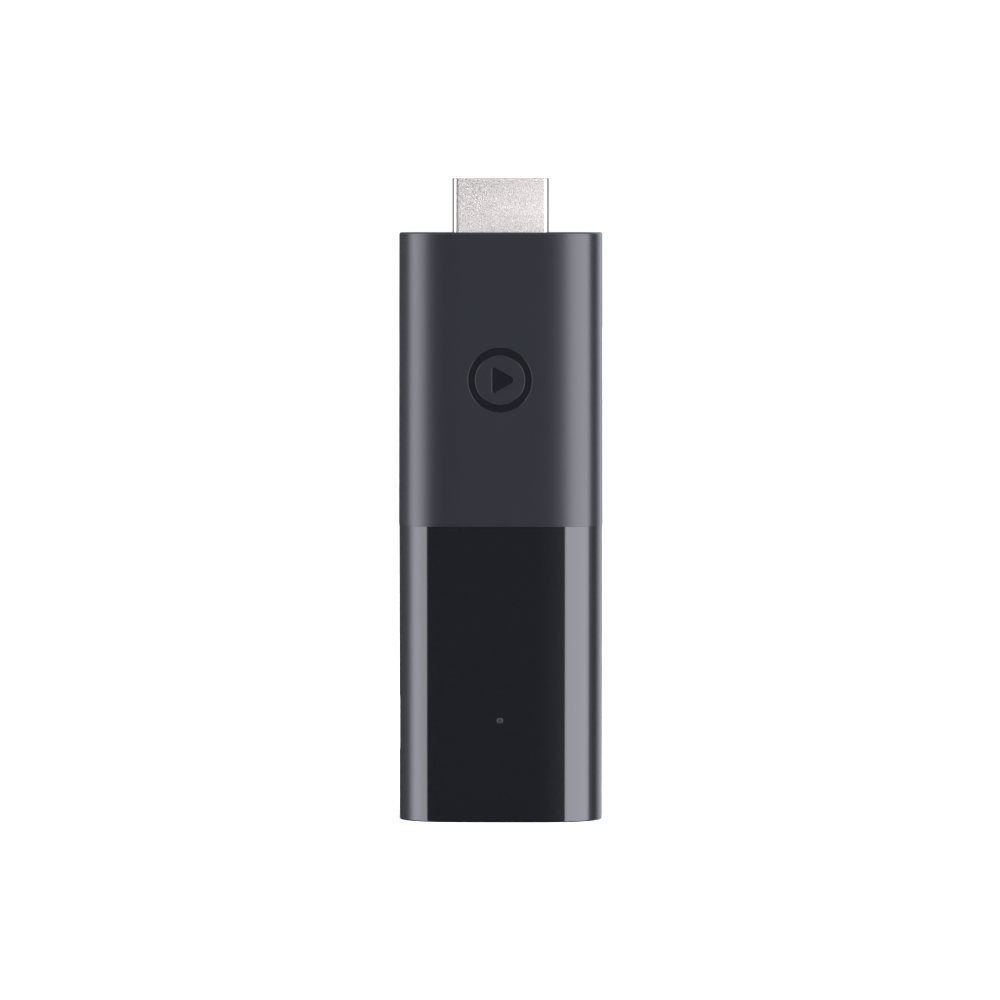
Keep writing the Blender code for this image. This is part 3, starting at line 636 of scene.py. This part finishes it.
def make_tube(name, outline, middle, sheet, low, high, axis, material):
    """Thin sheet round an outline that depends on an inset, with a rounded mouth at the high end.

    The mouth is half a turn of radius sheet / 2 from the outer to the inner face.
    """
    edge = sheet / 2
    turn = np.linspace(0, PI, 9)
    profile = [
        (0, low),
        (0, (low + high) / 2),
        (0, high - edge - HOLD),
        *zip(edge * (1 - np.cos(turn)), high - edge + edge * np.sin(turn)),
        (sheet, high - edge - HOLD),
        (sheet, low),
    ]
    rows = [np.insert(outline(inset) + middle, axis, level, axis=1) for inset, level in profile]
    skin = Skin()
    numbers = skin.add(np.stack(rows))
    skin.grid(np.concatenate([numbers, numbers[:1]]))
    return skin.piece(name, [material])


def make_plate(name, low, high, material):
    """A small plate with all its edges rounded: a box of one bevelled cube."""
    low, high = Vector(low), Vector(high)
    mesh = bpy.data.meshes.new(name)
    shape = bmesh.new()
    bmesh.ops.create_cube(shape, size=1.0)
    bmesh.ops.scale(shape, vec=high - low, verts=shape.verts)
    bmesh.ops.translate(shape, vec=(high + low) / 2, verts=shape.verts)
    bmesh.ops.bevel(
        shape, geom=shape.edges, offset=PLATE_EDGE, segments=3, affect="EDGES", profile=0.5
    )
    bmesh.ops.recalc_face_normals(shape, faces=shape.faces)
    shape.to_mesh(mesh)
    shape.free()
    mesh.materials.append(material)
    mesh.shade_smooth()
    made = bpy.data.objects.new(name, mesh)
    bpy.context.scene.collection.objects.link(made)
    return made


def make_plug(steel):
    """The bright sheet-metal shell of the plug, and its two legs."""
    shell = make_tube(
        "plug_shell", plug_outline, (0.0, 0.0), PLUG_SHEET, PLUG_REAR_Z, PLUG_HIGH.z, 2, steel
    )
    settle(shell, "plug_steel", "video_plug_shell")
    for side, name in ((-1, "plug_leg_left"), (1, "plug_leg_right")):
        x = sorted((side * PLUG_WIDTH / 2, side * (PLUG_WIDTH / 2 - PLUG_SHEET)))
        low = (x[0], LEG_FRONT_Y, PLUG_LOW.z)
        leg = make_plate(name, low, (x[1], LEG_BACK_Y, PLUG_REAR_Z - TOUCH), steel)
        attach(leg, "root")


def make_liner(liner):
    """The plug's moulded liner: the D outside, a slot with a flared mouth inside, joined ray by ray."""
    outer = plug_outline(PLUG_SHEET + LINER_GAP)
    slot = rounded(rectangle(SLOT_WIDTH, SLOT_HEIGHT), SLOT_CORNER)
    flare = 4 * LINER_EDGE
    mouth = rounded(rectangle(SLOT_WIDTH + flare, SLOT_HEIGHT + flare), 1.5 * SLOT_CORNER)
    low, high = LINER_LOW.z, LINER_HIGH.z
    angle = np.unique(np.arctan2(np.r_[outer[:, 1], slot[:, 1]], np.r_[outer[:, 0], slot[:, 0]]))
    rows = [
        (outer, low),
        (outer, high - LINER_EDGE),
        (outer * (1 - LINER_EDGE / LINER_HALF), high),
        (mouth, high),
        (slot, high - 2 * LINER_EDGE),
        (slot, low),
    ]
    skin = Skin()
    numbers = skin.add([np.insert(radial(outline, angle), 2, z, axis=1) for outline, z in rows])
    skin.grid(np.concatenate([numbers, numbers[:1]]))
    settle(skin.piece("plug_liner", [liner], sharp=30), "liner_plastic", "video_plug_insulator")


def make_inlet(steel):
    """The inlet's folded mouth and its two wings on the board."""
    mouth_x, rear_x = INLET_LOW.x, INLET_HIGH.x
    shell = make_tube(
        "inlet_shell", inlet_outline, (0.0, INLET_Z), INLET_SHEET, -rear_x, -mouth_x, 0, steel
    )
    mirror_x(shell)
    settle(shell, "plug_steel", "power_socket_shell")
    wing_y = -(BOARD_HIGH.y + SOLDER_GAP)
    root = INLET_WIDTH / 2 + TOUCH
    tip = INLET_WIDTH / 2 + WING_WIDTH
    for side, name in ((-1, "inlet_wing_low"), (1, "inlet_wing_high")):
        z = sorted((INLET_Z + side * root, INLET_Z + side * tip))
        low = (rear_x - WING_FRONT, wing_y - INLET_SHEET, z[0])
        wing = make_plate(name, low, (rear_x - WING_BACK, wing_y, z[1]), steel)
        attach(wing, "root")


def mirror_x(piece):
    """Mirror a mesh in x and turn its faces outwards again."""
    shape = bmesh.new()
    shape.from_mesh(piece.data)
    bmesh.ops.scale(shape, vec=(-1, 1, 1), verts=shape.verts)
    bmesh.ops.recalc_face_normals(shape, faces=shape.faces)
    shape.to_mesh(piece.data)
    shape.free()
    piece.data.set_sharp_from_angle(angle=np.radians(40))


# Finishes


class Wire:
    """A socket that carries a number. Arithmetic on it adds the Math nodes that work it out."""

    def __init__(self, paint, socket):
        self.paint = paint
        self.socket = socket

    def _math(self, operation, first, second):
        return self.paint.node("ShaderNodeMath", {"operation": operation}, {0: first, 1: second})

    def __add__(self, other):
        return self._math("ADD", self, other)

    def __sub__(self, other):
        return self._math("SUBTRACT", self, other)

    def __rsub__(self, other):
        return self._math("SUBTRACT", other, self)

    def __mul__(self, other):
        return self._math("MULTIPLY", self, other)

    def __gt__(self, other):
        return self._math("GREATER_THAN", self, other)

    def __abs__(self):
        return self.paint.node("ShaderNodeMath", {"operation": "ABSOLUTE"}, {0: self})

    def part(self, axis):
        """One of a vector's components: X, Y or Z."""
        return self.paint.node("ShaderNodeSeparateXYZ", {}, {0: self}, output=axis)

    def ramp(self, low, high, **settings):
        """0 below the low value and 1 above the high one."""
        limits = {"Value": self, "From Min": low, "From Max": high}
        return self.paint.node("ShaderNodeMapRange", settings, limits)


class Paint:
    """One node tree, and one way to add a node to it."""

    def __init__(self, tree):
        self.tree = tree

    def node(self, kind, settings=None, inputs=None, output=0):
        """Add a node: its settings first, then each input's value or wire. Gives back one output."""
        made = self.tree.nodes.new(kind)
        for name, value in (settings or {}).items():
            if name == "stops":
                ramp = made.color_ramp
                for i, (place, colour) in enumerate(value):
                    stop = ramp.elements[i] if i < 2 else ramp.elements.new(place)
                    stop.position = place
                    stop.color = (*colour, 1.0)
            else:
                setattr(made, name, value)
        for name, value in (inputs or {}).items():
            if isinstance(value, Wire):
                self.tree.links.new(value.socket, made.inputs[name])
            else:
                made.inputs[name].default_value = value
        return Wire(self, made.outputs[output])


class Finish(Paint):
    """A Principled material whose patterns lie in the object's own coordinates, in metres."""

    def __init__(self, name, **constants):
        self.material = bpy.data.materials.new(name)
        self.material.use_nodes = True
        super().__init__(self.material.node_tree)
        self.shader = self.tree.nodes["Principled BSDF"]
        for label, value in constants.items():
            self.shader.inputs[label.replace("_", " ")].default_value = value
        self.place = self.node("ShaderNodeTexCoord", output="Object")

    def noise(self, size, detail=2.0, roughness=0.5, squeeze=None):
        """Noise whose grain is about this many metres, squeezed along the axes where asked."""
        where = self.place
        if squeeze:
            where = self.node("ShaderNodeMapping", {}, {"Vector": where, "Scale": squeeze})
        return self.node(
            "ShaderNodeTexNoise",
            {},
            {"Vector": where, "Scale": 1 / size, "Detail": detail, "Roughness": roughness},
            output="Fac",
        )

    def mix(self, share, first, second):
        """Blend two colours by a number from 0 to 1."""
        made = self.tree.nodes.new("ShaderNodeMix")
        made.data_type = "RGBA"
        self.tree.links.new(share.socket, made.inputs["Factor"])
        for name, value in ((6, first), (7, second)):
            if isinstance(value, Wire):
                self.tree.links.new(value.socket, made.inputs[name])
            else:
                made.inputs[name].default_value = (*value, 1.0)
        return Wire(self, made.outputs[2])

    def set(self, label, wire):
        """Lead a wire into one of the shader's own sockets."""
        self.tree.links.new(wire.socket, self.shader.inputs[label])

    def bump(self, height, distance):
        """Raise the surface by a height from 0 to 1, at this many metres for 1."""
        values = {"Height": height, "Distance": distance, "Strength": 1.0}
        self.set("Normal", self.node("ShaderNodeBump", {}, values, output="Normal"))


def satin_plastic():
    """Charcoal plastic from an eroded mould: an even grain, a faint cloudiness and shinier flanks."""
    paint = Finish("satin_plastic", IOR=1.48)
    grain = paint.noise(0.09 * MM, 2.0, 0.6)
    cloud = paint.noise(9 * MM, 2.0)
    flank = abs(paint.place.part("X")).ramp(11.5 * MM, 13.8 * MM)
    tone = grain * 0.7 + cloud * 0.3
    paint.set("Base Color", paint.mix(tone, (0.0064, 0.0070, 0.0096), (0.0092, 0.0101, 0.0134)))
    paint.set("Roughness", grain * 0.04 + cloud * 0.02 + 0.34 - flank * 0.23)
    paint.bump(grain, 0.004 * MM)
    return paint.material


def gloss_plastic(name="gloss_plastic", shine=0.03):
    """Polished near-black plastic: a slow ripple from moulding, and very fine polishing haze."""
    paint = Finish(name, IOR=1.5)
    haze = paint.noise(1.2 * MM, 3.0)
    ripple = paint.noise(14 * MM, 1.0, 0.3)
    paint.set("Base Color", paint.mix(haze, (0.0034, 0.0039, 0.0052), (0.0040, 0.0046, 0.0060)))
    paint.set("Roughness", haze * 0.02 + shine)
    paint.bump(ripple, 0.002 * MM)
    return paint.material


def window_plastic():
    """Smoke-tinted diffusing plastic of the light pipe, a little paler round its rim."""
    paint = Finish("window_plastic", IOR=1.5)
    speck = paint.noise(0.15 * MM, 2.0)
    x = paint.place.part("X")
    z = paint.place.part("Z") - LIGHT_Z
    rim = x * x + z * z > (0.55 * LIGHT_RADIUS) ** 2
    centre = paint.mix(speck, (0.008, 0.009, 0.011), (0.016, 0.017, 0.020))
    paint.set("Base Color", paint.mix(rim, centre, (0.022, 0.023, 0.027)))
    paint.set("Roughness", speck * 0.1 + 0.30)
    return paint.material


def frosted_nickel():
    """Nickel plate on stamped sheet: frosted broad faces, burnished folds and duller narrow sides.

    The frost is painted paler at the plug's root than at its tip: painted light that lifts the shade the
    sleeve's top face casts on the root.
    """
    paint = Finish("frosted_nickel", Metallic=1.0)
    grain = (paint.noise(0.075 * MM, 1.0, 0.6, (1.0, 1.0, 0.75)) - 0.5) * 2.05 + 0.5
    across = abs(paint.place.part("X"))
    edge = PLUG_WIDTH / 2
    fold = across.ramp(edge - 1.1 * PLUG_CORNER, edge - 0.55 * PLUG_CORNER)
    side = across.ramp(edge - 0.18 * PLUG_CORNER, edge - 0.10 * PLUG_CORNER)
    # painted light: the frost colour is painted lighter at the plug's root, where the sleeve's top face
    # shades it, fading to the darker tip colour
    painted_root_light_fade = paint.place.part("Z").ramp(TOP_Z, PLUG_HIGH.z)
    root = paint.mix(grain, (0.395, 0.371, 0.338), (0.980, 0.921, 0.839))
    tip = paint.mix(grain, (0.290, 0.272, 0.248), (0.740, 0.696, 0.634))
    bright = paint.mix(grain, (0.26, 0.25, 0.24), (0.30, 0.29, 0.28))
    dull = paint.mix(grain, (0.17, 0.162, 0.153), (0.21, 0.20, 0.19))
    paint.set("Base Color", paint.mix(side, paint.mix(fold, paint.mix(painted_root_light_fade, root, tip), bright), dull))
    paint.set("Roughness", (1 - fold) * 0.36 + grain * 0.04 + 0.16)
    paint.bump(grain * (1 - fold), 0.02 * MM)
    return paint.material


def moulded(name, dark, light, shine, grain_size=0.2 * MM):
    """Moulded plastic or resin with a fine eroded grain between two close tones."""
    paint = Finish(name)
    grain = paint.noise(grain_size, 3.0, 0.6)
    paint.set("Base Color", paint.mix(grain, dark, light))
    paint.set("Roughness", grain * 0.12 + shine)
    paint.bump(grain, 0.004 * MM)
    return paint.material


def rolled_metal(name, dark, light, shine):
    """Sheet metal with faint rolling lines across it: noise squeezed along Z."""
    paint = Finish(name, Metallic=1.0)
    lines = paint.noise(1.5 * MM, 3.0, 0.6, (1.0, 1.0, 14.0))
    stain = paint.noise(4 * MM, 2.0)
    paint.set("Base Color", paint.mix(lines * 0.6 + stain * 0.4, dark, light))
    paint.set("Roughness", lines * 0.12 + shine)
    paint.bump(lines, 0.002 * MM)
    return paint.material


def circuit_laminate():
    """Green solder resist over copper: straight tracks as shallow steps, and a weave under the resist."""
    paint = Finish("circuit_laminate", Coat_Roughness=0.15)
    settings = {"wave_type": "BANDS", "bands_direction": "X", "wave_profile": "SIN"}
    values = {"Vector": paint.place, "Scale": 520.0, "Distortion": 1.2, "Detail": 0.0}
    values["Detail Scale"] = 90.0
    tracks = paint.node("ShaderNodeTexWave", settings, values, output="Fac") > 0.62
    blocks = paint.noise(5 * MM, 0.0) > 0.5
    copper = tracks * blocks
    weave = paint.noise(0.35 * MM, 1.0)
    base = paint.mix(weave, (0.008, 0.060, 0.028), (0.011, 0.075, 0.036))
    paint.set("Base Color", paint.mix(copper, base, (0.020, 0.145, 0.062)))
    paint.set("Roughness", weave * 0.1 + 0.32)
    paint.set("Coat Weight", copper * 0.2 + 0.3)
    paint.bump(copper * 0.8 + weave * 0.2, 0.02 * MM)
    return paint.material


def make_finishes():
    """The finishes of the pieces inside, by kind."""
    return {
        "gilt_contact": rolled_metal("gilt_contact", (0.78, 0.52, 0.20), (0.95, 0.70, 0.32), 0.18),
        "circuit": circuit_laminate(),
        "chip": moulded("chip_resin", (0.014, 0.014, 0.015), (0.026, 0.026, 0.027), 0.45),
        "ferrite": moulded("ferrite", (0.040, 0.041, 0.046), (0.080, 0.080, 0.085), 0.55, 0.12 * MM),
        "ceramic": moulded("ceramic", (0.33, 0.22, 0.13), (0.46, 0.31, 0.19), 0.4, 0.3 * MM),
        "screen": rolled_metal("tinned_screen", (0.52, 0.52, 0.50), (0.72, 0.72, 0.70), 0.28),
        "nickel": rolled_metal("nickel_sheet", (0.62, 0.60, 0.54), (0.78, 0.75, 0.68), 0.22),
        "aluminium": rolled_metal("spreader_aluminium", (0.72, 0.73, 0.74), (0.88, 0.89, 0.90), 0.32),
        "pad": moulded("heat_pad", (0.24, 0.28, 0.32), (0.36, 0.40, 0.44), 0.75, 0.4 * MM),
        "lamp": moulded("lamp_resin", (0.80, 0.76, 0.46), (0.92, 0.88, 0.62), 0.2, 0.3 * MM),
        "liner": moulded("liner_plastic", (0.015, 0.015, 0.017), (0.027, 0.027, 0.030), 0.38),
    }


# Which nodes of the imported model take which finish, by words in their names
CARRIED = {
    "circuit": ("main_board",),
    "chip": ("_chip", "surge_array"),
    "ferrite": ("power_inductor",),
    "ceramic": ("bulk_capacitor",),
    "nickel": ("_crystal", "antenna_"),
    "screen": ("radio_module", "shield_", "rear_shield_can"),
    "aluminium": ("heat_spreader",),
    "pad": ("_pad",),
    "lamp": ("status_led",),
    "liner": ("power_socket_tongue",),
    "gilt_contact": ("_contact_",),
}


def dress_carried_nodes(finishes):
    """Give each node that is kept as it is the finish of its kind."""
    for kind, words in CARRIED.items():
        for name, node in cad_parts.items():
            if any(word in name for word in words):
                node.data.materials.clear()
                node.data.materials.append(finishes[kind])


# Studio


def make_floor():
    """A wide pale floor under the stick. Mirrored rays pass it, so no horizon shows in the gloss."""
    mesh = bpy.data.meshes.new("floor")
    corners = [(x, y, FLOOR_Z) for x, y in rectangle(2 * FLOOR_HALF, 2 * FLOOR_HALF)]
    mesh.from_pydata(corners, [], [(0, 1, 2, 3)])
    paint = Finish("floor_paint")
    cloud = paint.noise(0.6, 2.0)
    paint.set("Base Color", paint.mix(cloud, (0.90, 0.90, 0.90), (0.93, 0.93, 0.93)))
    paint.shader.inputs["Roughness"].default_value = 0.9
    paint.shader.inputs["Specular IOR Level"].default_value = 0.0
    mesh.materials.append(paint.material)
    floor = bpy.data.objects.new("floor", mesh)
    bpy.context.scene.collection.objects.link(floor)
    floor.visible_glossy = False


# Brightness of the room round the stick by bearing in degrees, 0 at the camera and rising to the right.
# A light wall on each side has a sharp edge towards the camera and a soft one towards the back.
LIGHT_WALLS = (
    (-180, 0.10),
    (-149, 0.14),
    (-138, 0.24),
    (-126, 0.34),
    (-114, 0.60),
    (-104, 1.02),
    (-96, 2.20),
    (-87, 4.40),
    (-77, 6.60),
    (-70, 6.95),
    (-57, 6.50),
    (-47.5, 6.10),
    (-46.2, 0.18),
    (-28, 0.13),
    (0, 0.12),
    (15, 0.25),
    (27.5, 0.42),
    (29.6, 0.55),
    (30.8, 6.90),
    (36, 7.75),
    (66, 7.92),
    (76, 7.40),
    (83, 5.90),
    (88, 2.10),
    (94, 0.95),
    (102, 0.55),
    (110, 0.41),
    (119, 0.62),
    (133, 1.40),
    (148, 1.38),
    (166, 0.70),
    (180, 0.10),
)


def make_studio_air():
    """White all round for the eye; for the stick, a dark room with an upright light wall on each side."""
    world = bpy.data.worlds.new("studio_air")
    bpy.context.scene.world = world
    world.use_nodes = True
    air = Paint(world.node_tree)
    out = air.tree.nodes["World Output"]
    back = air.tree.nodes["Background"]
    ray = air.node("ShaderNodeTexCoord", output="Generated")
    ahead = 0 - ray.part("Y")
    height = ray.part("Z")
    bearing = air.node("ShaderNodeMath", {"operation": "ARCTAN2"}, {0: ray.part("X"), 1: ahead})
    share = (bearing * (180 / PI)).ramp(-180.0, 180.0)
    stops = [((degrees + 180) / 360, (glow / BRIGHTEST,) * 3) for degrees, glow in LIGHT_WALLS]
    walls = air.node("ShaderNodeValToRGB", {"stops": stops}, {"Fac": share}, output="Color")
    fade = abs(height).ramp(0.45, 0.85, interpolation_type="SMOOTHSTEP")
    top = height.ramp(0.3, 0.7, interpolation_type="SMOOTHSTEP")
    glow = walls * (1 - fade) * BRIGHTEST + top * TOP_LIGHT
    air.tree.links.new(glow.socket, back.inputs["Strength"])
    back.inputs["Color"].default_value = AIR_COLOUR
    plain = air.tree.nodes.new("ShaderNodeBackground")
    plain.inputs["Color"].default_value = (1, 1, 1, 1)
    plain.inputs["Strength"].default_value = PLAIN_AIR
    eye = air.node("ShaderNodeLightPath", output="Is Camera Ray")
    choose = air.tree.nodes.new("ShaderNodeMixShader")
    air.tree.links.new(eye.socket, choose.inputs[0])
    air.tree.links.new(back.outputs[0], choose.inputs[1])
    air.tree.links.new(plain.outputs[0], choose.inputs[2])
    air.tree.links.new(choose.outputs[0], out.inputs["Surface"])


def add_overhead_light():
    """A square soft light above, turned to face the stick's foot. It doesn't show in the gloss."""
    data = bpy.data.lights.new("overhead", "AREA")
    data.shape = "SQUARE"
    data.size = OVERHEAD_SIZE
    data.energy = OVERHEAD_POWER
    lamp = bpy.data.objects.new("overhead", data)
    bpy.context.scene.collection.objects.link(lamp)
    lamp.location = OVERHEAD_PLACE
    lamp.rotation_euler = (-OVERHEAD_PLACE).to_track_quat("-Z", "Y").to_euler()
    lamp.visible_glossy = False


def make_camera():
    """A long lens a metre away, as high as the plug and a touch to the right."""
    data = bpy.data.cameras.new("camera")
    camera = bpy.data.objects.new("camera", data)
    bpy.context.scene.collection.objects.link(camera)
    across = CAMERA_DISTANCE * np.sin(CAMERA_TURN)
    ahead = CAMERA_DISTANCE * np.cos(CAMERA_TURN)
    camera.location = (CAMERA_AIM.x + across, -ahead, CAMERA_HEIGHT)
    aim = CAMERA_AIM - camera.location
    camera.rotation_euler = aim.to_track_quat("-Z", "Y").to_euler()
    data.sensor_width = SENSOR
    data.lens = LENS
    data.clip_start = NEAREST
    data.clip_end = FARTHEST
    bpy.context.scene.camera = camera


def main():
    satin = satin_plastic()
    gloss = gloss_plastic()
    polished = gloss_plastic("polished_mark", 0.05)
    steel = frosted_nickel()
    finishes = make_finishes()
    make_sleeve(satin, polished)
    make_shell(gloss)
    make_light_window(window_plastic())
    make_plug(steel)
    make_liner(finishes["liner"])
    make_inlet(steel)
    dress_carried_nodes(finishes)
    make_floor()
    make_studio_air()
    add_overhead_light()
    make_camera()
    bpy.context.scene.view_settings.view_transform = "Standard"


main()
